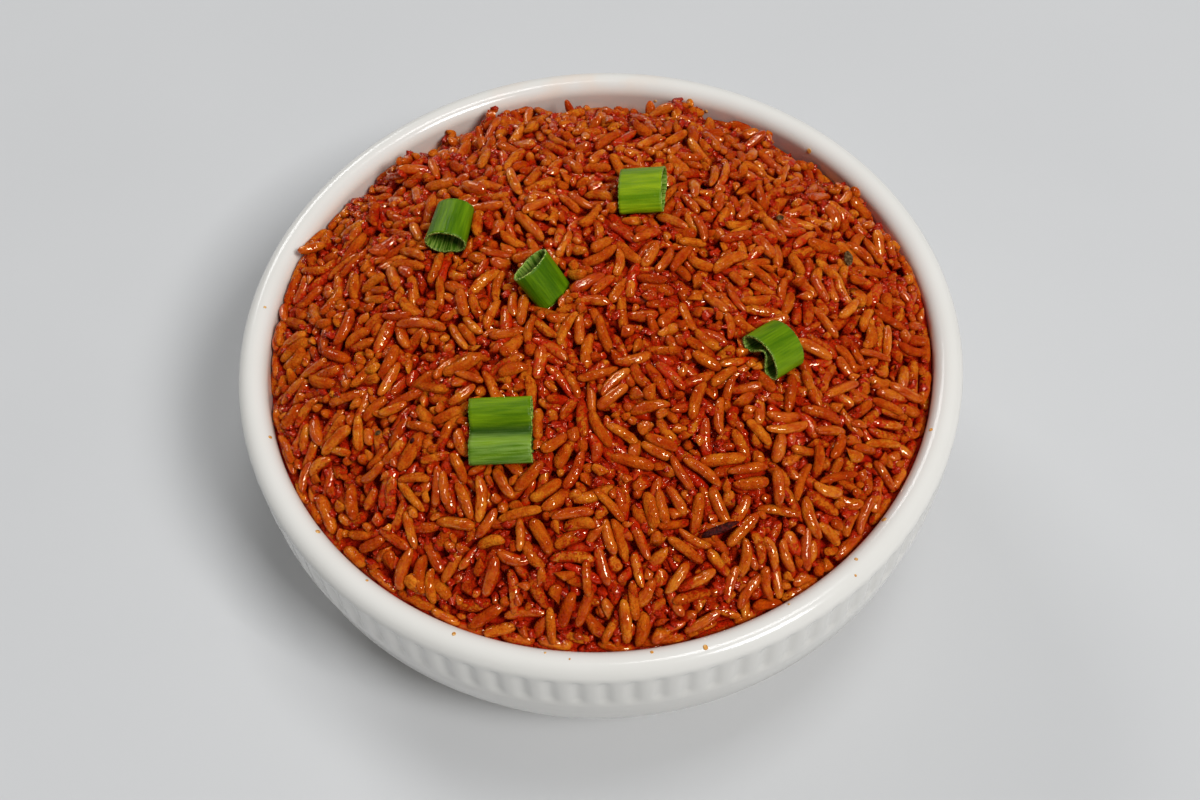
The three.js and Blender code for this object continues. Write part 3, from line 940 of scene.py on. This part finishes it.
    def stand(self, grain):
        """Stands a grain steeply in the pile with its tip near the top, before the others are laid."""
        x, y = (float(part[0]) for part in self.random_places(1))
        turn = self.random.uniform(0, 2 * math.pi)
        slope = self.random.uniform(*UPRIGHT_SLOPE)
        half = grain["length"] / 2
        rise = half * slope / math.sqrt(1 + slope**2)
        height = float(heap_height(x, y)) + CREST_RISE - self.random.uniform(*UPRIGHT_TIP) - rise
        cells = self.cells(np.array([x]), np.array([y]))
        if math.hypot(x, y) > RICE_RADIUS - half or self.roof[cells][0] < np.inf:
            return False
        self.settle(grain, x, y, turn, height, slope)
        return True


def lump_shape(random, subdivisions):
    """A lump of pepper paste, 2 across."""
    shape = bmesh.new()
    bmesh.ops.create_icosphere(shape, subdivisions=subdivisions, radius=1)
    for vert in shape.verts:
        vert.co *= random.uniform(*LUMP_UNEVENNESS)
    points = np.array([vert.co for vert in shape.verts])
    faces = [[vert.index for vert in face.verts] for face in shape.faces]
    shape.free()
    return points, faces


def paste_lump(random, pile, shapes, place, rise, sizes):
    """One lump of paste on whatever is below it, or None where it would touch the bowl or a spring onion."""
    cell = pile.cells(np.array(place[0]), np.array(place[1]))
    length, width, thickness = sizes
    if math.hypot(*place) > RICE_RADIUS - length / 2 or pile.roof[cell] < np.inf:
        return None
    if pile.top[cell] > pile.crest[cell] - PASTE_BELOW_CREST:
        return None
    lump = random_grain(random, "paste", len(shapes))
    lump.update({"x": place[0], "y": place[1], "height": float(pile.top[cell]) + rise})
    lump.update({"length": length, "width": width, "thickness": thickness})
    lump.update({"turn": random.uniform(0, 2 * math.pi), "slope": random.uniform(-LUMP_SLOPE, LUMP_SLOPE)})
    return lump


def pepper_paste_lumps(random, pile):
    """Clots of paste in the hollows between grains, and crumbs about each."""
    shapes = {
        kind: [lump_shape(random, subdivisions) for _ in range(LUMP_SHAPES)]
        for kind, subdivisions in LUMP_KINDS.items()
    }
    laid = {kind: [] for kind in LUMP_KINDS}
    for _ in range(CLUMPS_OF_PASTE):
        x, y = pile.random_places(HOLLOWS_LOOKED_AT)
        cells = pile.cells(x, y)
        lowest = int(np.argmin(pile.top[cells] - pile.crest[cells]))
        middle = np.array((float(x[lowest]), float(y[lowest])))
        length = random.uniform(*CLOT_LENGTH)
        sizes = (length, length * random.uniform(*CLOT_WIDTH), length * random.uniform(*CLOT_THICKNESS))
        clot = paste_lump(random, pile, shapes["clots"], middle, -CLOT_SINK * sizes[2], sizes)
        laid["clots"].append(clot)
        if clot:
            pile.raise_over(clot)
        fewest, most = CRUMBS_IN_CLUMP
        share = random.uniform(0, 1) ** 3
        for _ in range(int(fewest + share * (most - fewest))):
            away = random.normal(0, random.uniform(*CLUMP_SPREAD), 2)
            size = random.uniform(*CRUMB_SIZE)
            rise = CRUMB_RISE * size + CLUMP_RISE * share * random.uniform(0, 1) / (1 + away @ away)
            sizes = [part * size for part in CRUMB_FORM]
            laid["crumbs"].append(paste_lump(random, pile, shapes["crumbs"], middle + away, rise, sizes))
    kept = {kind: [lump for lump in lumps if lump] for kind, lumps in laid.items()}
    return {"pepper_" + kind: joined("pepper_" + kind, shapes[kind], kept[kind], pile) for kind in kept}


def random_grain(random, kind, shapes):
    length = random.uniform(*(BROKEN_LENGTH if kind == "broken" else WHOLE_LENGTH))
    width = random.uniform(*GRAIN_WIDTH)
    return {
        "shape": random.integers(shapes),
        "length": length,
        "width": width,
        "thickness": width * random.uniform(*GRAIN_FLATNESS),
        "proud": random.uniform(*PROUD),
        "roll": random.uniform(-ROLL, ROLL) + random.integers(2) * math.pi,
        "tone": float(np.clip(random.normal(0.5, TONE_SPREAD), 0, 1)),
        "paste": float(np.clip(random.normal(0.5, PASTE_SPREAD), 0, 1)),
        "gloss": random.uniform(0, 1),
        "offset": random.uniform(-PATTERN_SHIFT, PATTERN_SHIFT, 3),
    }


def grain_matrix(grain):
    """Turns and scales a grain shape: its length lies along the grain, its flat side up."""
    along = Vector((math.cos(grain["turn"]), math.sin(grain["turn"]), grain["slope"])).normalized()
    side = Vector((-math.sin(grain["turn"]), math.cos(grain["turn"]), 0))
    roll = Matrix.Rotation(grain["roll"], 3, along)
    side = roll @ side
    top = along.cross(side)
    columns = (side * grain["width"] / 2, top * grain["thickness"] / 2, along * grain["length"] / 2)
    return np.array(columns).T


def joined(name, shapes, laid, pile):
    """One mesh of all the grains that were laid, with their looks and depth in the pile as attributes."""
    looks = {"tone": [], "paste": [], "gloss": []}
    points, faces, places = [], [], []
    count = 0
    for grain in laid:
        shape, shape_faces = shapes[grain["shape"]]
        matrix = grain_matrix(grain)
        sizes = np.array((grain["width"], grain["thickness"], grain["length"])) / 2
        points.append(shape @ matrix.T + (grain["x"], grain["y"], grain["height"]))
        places.append(shape * sizes + grain["offset"])
        for look, values in looks.items():
            values += [grain[look]] * len(shape)
        faces += [[corner + count for corner in face] for face in shape_faces]
        count += len(shape)
    points = np.concatenate(points)
    mesh = bpy.data.meshes.new(name)
    mesh.from_pydata(points.tolist(), [], faces)
    set_attribute(mesh, "grain_place", np.concatenate(places))
    set_attribute(mesh, "grain_depth", pile.level()[pile.cells(points[:, 0], points[:, 1])] - points[:, 2])
    for look, values in looks.items():
        set_attribute(mesh, "grain_" + look, values)
    return mesh


def rice_grains(onion_tree):
    """The grains of every kind, laid one on another until the heap is covered."""
    random = np.random.default_rng(SEED)
    shapes = {
        kind: [grain_shape(random, bend, kind == "broken") for _ in range(number)]
        for kind, (bend, number, _) in GRAIN_KINDS.items()
    }
    kinds = [kind for kind, (_, _, tried) in GRAIN_KINDS.items() for _ in range(tried)]
    random.shuffle(kinds)
    pile = Pile(random)
    pile.put_roof(onion_tree)
    laid = {kind: [] for kind in GRAIN_KINDS}
    for grain in pile.line_wall(lambda: random_grain(random, "straight", len(shapes["straight"]))):
        laid["straight"].append(grain)
    upright = int(UPRIGHT_SHARE * len(kinds))
    for number, kind in enumerate(kinds):
        grain = random_grain(random, kind, len(shapes[kind]))
        place = pile.stand if number < upright else pile.lay
        if place(grain):
            zone = noise.noise(Vector((grain["x"], grain["y"], 0)) / PASTE_ZONES)
            grain["paste"] += PASTE_BY_ZONE * zone
            laid[kind].append(grain)
    pile.open_pits()
    for _ in range(CHIP_COUNT):
        chip = random_grain(random, "broken", len(shapes["broken"]))
        width = random.uniform(*CHIP_WIDTH)
        chip.update({"length": random.uniform(*CHIP_LENGTH), "width": width})
        chip["thickness"] = CHIP_FLATNESS * width
        if pile.lay(chip):
            laid["broken"].append(chip)
    grains = {kind: joined("rice_" + kind, shapes[kind], laid[kind], pile) for kind in laid}
    return pile, grains, pepper_paste_lumps(random, pile)


def bits(name, places, height_at):
    """Lumpy flakes that lie on whatever is below them."""
    shape = bmesh.new()
    for x, y, turn, length, width, thickness in places:
        flake = bmesh.ops.create_icosphere(shape, subdivisions=3, radius=0.5)["verts"]
        for vert in flake:
            vert.co *= 1 + BIT_LUMPS * noise.noise(BIT_LUMPS_ACROSS * vert.co + Vector((x, y, 0)))
        tilt = Vector((0, 0, 1)).rotation_difference(heap_normal(x, y)).to_matrix().to_4x4()
        lie = Matrix.Translation((x, y, height_at(x, y) + BIT_SHARE_OUT * thickness)) @ tilt
        size = Matrix.Diagonal((length, width, thickness, 1))
        lie = lie @ Matrix.Rotation(math.radians(turn), 4, "Z") @ size
        bmesh.ops.transform(shape, matrix=lie, verts=flake)
    return to_mesh(name, shape)


def oil_spots():
    """Drops of red oil on the lip and on the wall inside."""
    shape = bmesh.new()
    for turn, across, size in OIL_SPOTS:
        drop = bmesh.ops.create_icosphere(shape, subdivisions=2, radius=0.5)["verts"]
        middle = RIM_RADIUS - LIP_HALF_WIDTH
        out = Vector((math.cos(math.radians(across)), 0, math.sin(math.radians(across))))
        place = Vector((middle, 0, LIP_Z)) + LIP_HALF_WIDTH * out
        if across > 180:
            out = Vector((-1, 0, 0))
            place = Vector((INNER_RADIUS, 0, LIP_Z - (across - 180) * LIP_HALF_WIDTH * math.pi / 180))
        lean = Vector((0, 0, 1)).rotation_difference(out).to_matrix().to_4x4()
        lie = Matrix.Rotation(math.radians(turn), 4, "Z") @ Matrix.Translation(place) @ lean
        lie = lie @ Matrix.Diagonal((OIL_LENGTH * size, size, OIL_THICKNESS, 1))
        bmesh.ops.transform(shape, matrix=lie, verts=drop)
    return to_mesh("oil_spots", shape)


# Spring onion


def leaf_point(piece, angle, share):
    """A point of the leaf's outer skin: angle goes round the section, share along the length."""
    x = piece["width"] / 2 * math.cos(angle)
    across = 2 * x / piece["width"]
    crease = -piece.get("crease_top", 0) if math.sin(angle) > 0 else piece.get("crease_bottom", 0)
    pressed = crease * math.exp(-((across / CREASE_WIDTH) ** 2)) * abs(math.sin(angle))
    y = piece["height"] / 2 * math.sin(angle) + pressed - piece.get("arch", 0) * across**2
    scale = 1 - piece.get("taper", 0) * (2 * share - 1)
    return x * scale, y * scale


def leaf_matrix(piece):
    """Lays a leaf on the heap: its length along Z, its section's top along Y."""
    turn = math.radians(piece["turn"])
    pitch = math.radians(piece.get("pitch", 0))
    normal = heap_normal(*piece["at"])
    along = Vector((math.cos(turn), math.sin(turn), 0))
    along = (along - normal * along.dot(normal)).normalized()
    side = normal.cross(along)
    along = Matrix.Rotation(-pitch, 3, side) @ along
    top = Matrix.Rotation(math.radians(piece.get("roll", 0)), 3, along) @ along.cross(side)
    side = top.cross(along)
    lowest = piece["length"] / 2 * math.sin(abs(pitch)) + piece["height"] / 2 * math.cos(pitch)
    middle = Vector((*piece["at"], float(heap_height(*piece["at"]))))
    middle += normal * (lowest - piece["sink"] + piece.get("arch", 0) * 0.5)
    return Matrix.Translation(middle) @ Matrix((side, top, along)).transposed().to_4x4()


def spring_onion(name, piece, seed):
    """A hollow leaf cut across at both ends, with a thin wall and slightly ragged cuts."""
    shape = bmesh.new()
    bmesh.ops.create_circle(shape, segments=ONION_SIDES, radius=1)
    edges = shape.edges[:]
    for _ in range(ONION_STEPS):
        made = bmesh.ops.extrude_edge_only(shape, edges=edges)["geom"]
        ring = [part for part in made if isinstance(part, bmesh.types.BMVert)]
        edges = [part for part in made if isinstance(part, bmesh.types.BMEdge)]
        bmesh.ops.translate(shape, verts=ring, vec=(0, 0, 1 / ONION_STEPS))
    for vert in shape.verts:
        share = vert.co.z
        angle = math.atan2(vert.co.y, vert.co.x)
        cos, sin = math.cos(angle), math.sin(angle)
        rags = Vector((CUT_RAGS * cos, CUT_RAGS * sin, seed + share)) * 3
        ragged = CUT_RAGGEDNESS * noise.noise(rags)
        dents = Vector((LEAF_DENTS_ROUND * cos, LEAF_DENTS_ROUND * sin, seed + 2 * share))
        dent = 1 + LEAF_DENTS * noise.noise(dents)
        x, y = leaf_point(piece, angle, share)
        end = abs(2 * share - 1) ** CUT_REACH
        vert.co = (x * dent, y * dent, (share - 0.5) * piece["length"] + ragged * end)
    bmesh.ops.recalc_face_normals(shape, faces=shape.faces)
    outer = len(shape.verts)
    bmesh.ops.solidify(shape, geom=shape.faces[:], thickness=ONION_WALL)
    bmesh.ops.recalc_face_normals(shape, faces=shape.faces)
    shape.verts.index_update()
    places = np.array([vert.co for vert in shape.verts])
    mesh = bpy.data.meshes.new(name + "_leaf")
    shape.to_mesh(mesh)
    shape.free()
    from_end = piece["length"] / 2 - np.abs(places[:, 2])
    set_attribute(mesh, "leaf_place", places + (0, 0, 40 * seed))
    set_attribute(mesh, "leaf_tone", np.full(len(places), piece["tone"]))
    set_attribute(mesh, "leaf_cut", from_end)
    set_attribute(mesh, "leaf_inner", (np.arange(len(places)) >= outer).astype(float))
    across = 2 * places[:, 0] / piece["width"]
    creased = (places[:, 1] > 0) * min(1, piece.get("crease_top", 0))
    # Where the painted shade along the fold lies
    set_attribute(mesh, "leaf_fold_shade", creased * np.exp(-((across / FOLD_SHADE_WIDTH) ** 2)))
    # Where the painted sheen below the fold lies
    set_attribute(mesh, "leaf_sheen_below", creased * np.clip(-SHEEN_GROWTH * across, 0, SHEEN_MOST))
    mesh.transform(leaf_matrix(piece))
    return mesh


# Camera and light


def camera():
    right = Vector((1, 0, 0))
    forward = Vector((0, math.cos(CAMERA_TILT), -math.sin(CAMERA_TILT)))
    up = Vector((0, math.sin(CAMERA_TILT), math.cos(CAMERA_TILT)))
    across, along = CAMERA_ASIDE
    cos, sin = math.cos(CAMERA_ROLL), math.sin(CAMERA_ROLL)
    middle = Vector((0, 0, BOWL_HEIGHT))
    middle += (-across * cos - along * sin) * right + (across * sin - along * cos) * up
    place = middle - CAMERA_DISTANCE * forward
    turned_right, turned_up = right * cos - up * sin, right * sin + up * cos
    turn = Matrix((turned_right, turned_up, -forward)).transposed().to_4x4()
    lens = bpy.data.cameras.new("camera")
    lens.lens = LENS
    lens.sensor_width = SENSOR
    lens.clip_start = 0.01
    viewer = bpy.data.objects.new("camera", lens)
    viewer.matrix_world = Matrix.Translation(place * MM) @ turn
    bpy.context.scene.collection.objects.link(viewer)
    bpy.context.scene.camera = viewer


def soft_light(name, direction, distance, size, power):
    """A square light that faces the rice from that direction, in metres and watts."""
    lamp = bpy.data.lights.new(name, "AREA")
    lamp.size = size
    lamp.energy = power
    source = bpy.data.objects.new(name, lamp)
    away = Vector(direction).normalized()
    source.location = away * distance + Vector((0, 0, BOWL_HEIGHT * MM))
    source.rotation_euler = away.to_track_quat("Z", "Y").to_euler()
    bpy.context.scene.collection.objects.link(source)


def studio():
    shape = bmesh.new()
    bmesh.ops.create_grid(shape, x_segments=1, y_segments=1, size=FLOOR_REACH)
    floor_mesh = to_mesh("floor", shape)
    floor_mesh.transform(Matrix.Scale(MM, 4))
    floor_mesh.materials.append(pale_floor())
    floor = bpy.data.objects.new("floor", floor_mesh)
    bpy.context.scene.collection.objects.link(floor)
    for name, light in LIGHTS.items():
        soft_light(name, *light)
    world = bpy.data.worlds.new("soft_room")
    world.use_nodes = True
    background = world.node_tree.nodes["Background"]
    background.inputs["Color"].default_value = ROOM_COLOUR
    background.inputs["Strength"].default_value = ROOM_STRENGTH
    bpy.context.scene.world = world
    bpy.context.scene.view_settings.view_transform = "Standard"


camera()
studio()
add_piece(bowl(), glazed_porcelain(), "bowl")
leaf_material = onion_leaf()
leaves = {name: spring_onion(name, piece, seed) for seed, (name, piece) in enumerate(ONION_PIECES.items())}
stack = bmesh.new()
for leaf in leaves.values():
    stack.from_mesh(leaf)
onion_tree = BVHTree.FromBMesh(stack)
stack.free()
for name, leaf in leaves.items():
    add_piece(leaf, leaf_material, name)
rice_material = cooked_rice()
pile, grains, paste_lumps = rice_grains(onion_tree)
paste_material = pepper_paste()
for mesh in paste_lumps.values():
    add_piece(mesh, paste_material, "rice")
loose = {
    "charred_bits": (CHARRED_BITS, (44, 8, 8), (98, 24, 16)),
    "herb_bits": (HERB_BITS, (68, 44, 20), (126, 98, 62)),
    "pale_bits": (PALE_BITS, (204, 98, 12), (224, 130, 28)),
}
for name, (places, dark, light) in loose.items():
    flakes = bits(name, places, lambda x, y: float(pile.top[pile.cells(np.array(x), np.array(y))]))
    add_piece(flakes, wrinkled_skin(name, dark, light), "rice")
add_piece(oil_spots(), wrinkled_skin("red_oil", (214, 146, 62), (242, 196, 128)), "rice")
for mesh in grains.values():
    add_piece(mesh, rice_material, "rice")
add_piece(rice_bed(), packed_bed(), "rice")
